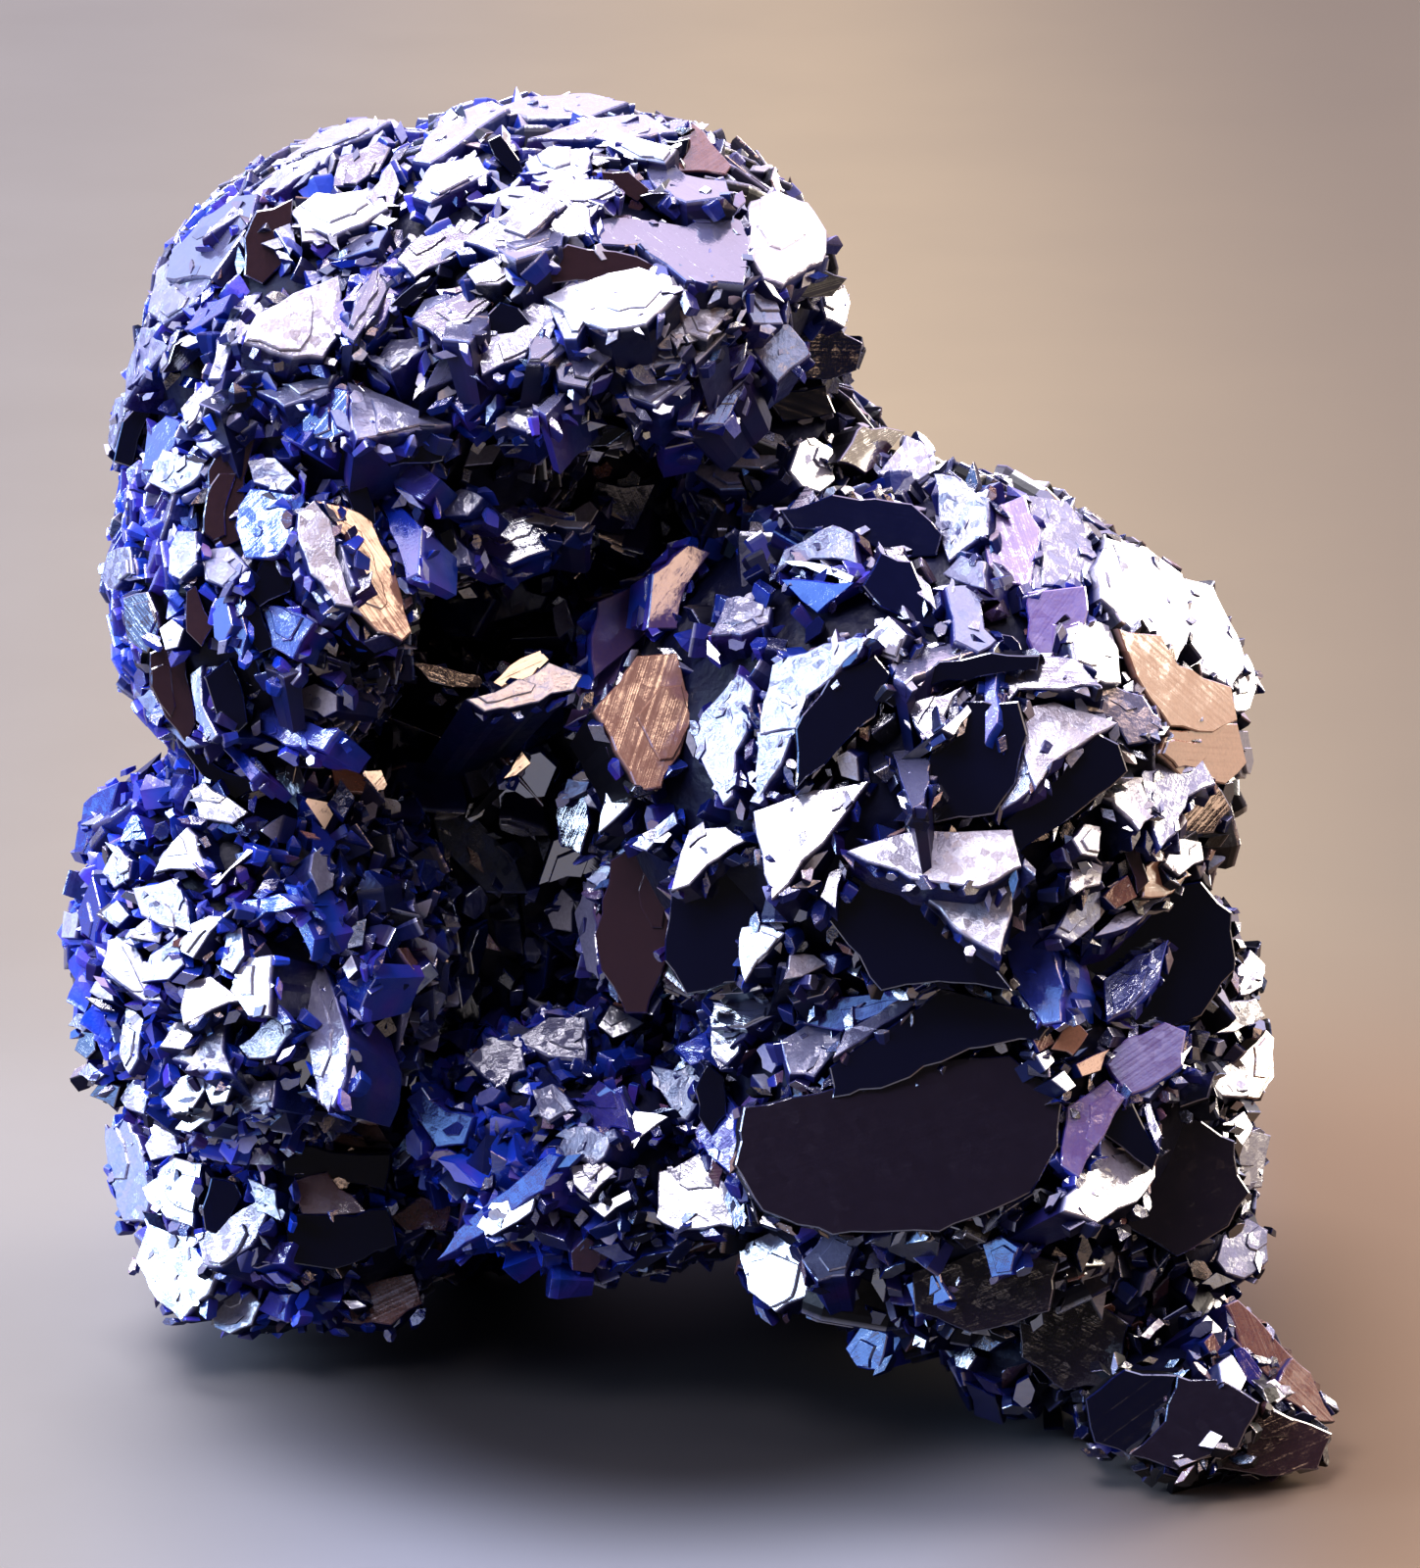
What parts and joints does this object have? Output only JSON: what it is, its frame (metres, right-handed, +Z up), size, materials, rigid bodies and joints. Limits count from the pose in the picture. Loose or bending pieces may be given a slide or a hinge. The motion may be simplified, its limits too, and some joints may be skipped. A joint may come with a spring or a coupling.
{
  "type": "azurite crystal specimen",
  "caption": "Free-standing natural cluster of intergrown dark blue azurite crystals, in rounded lobes of glossy blades round a deep crevice.",
  "frame": {"origin": "on the resting plane, under the middle of the specimen's bounding box", "axes": "+Z up, the side on show faces -Y, +X to the right as seen from there"},
  "size_m": [0.0424, 0.0318, 0.0436],
  "materials": {
    "azurite": "gloss"
  },
  "bodies": {
    "root": {"azurite_cluster": "azurite"}
  },
  "joints": []
}
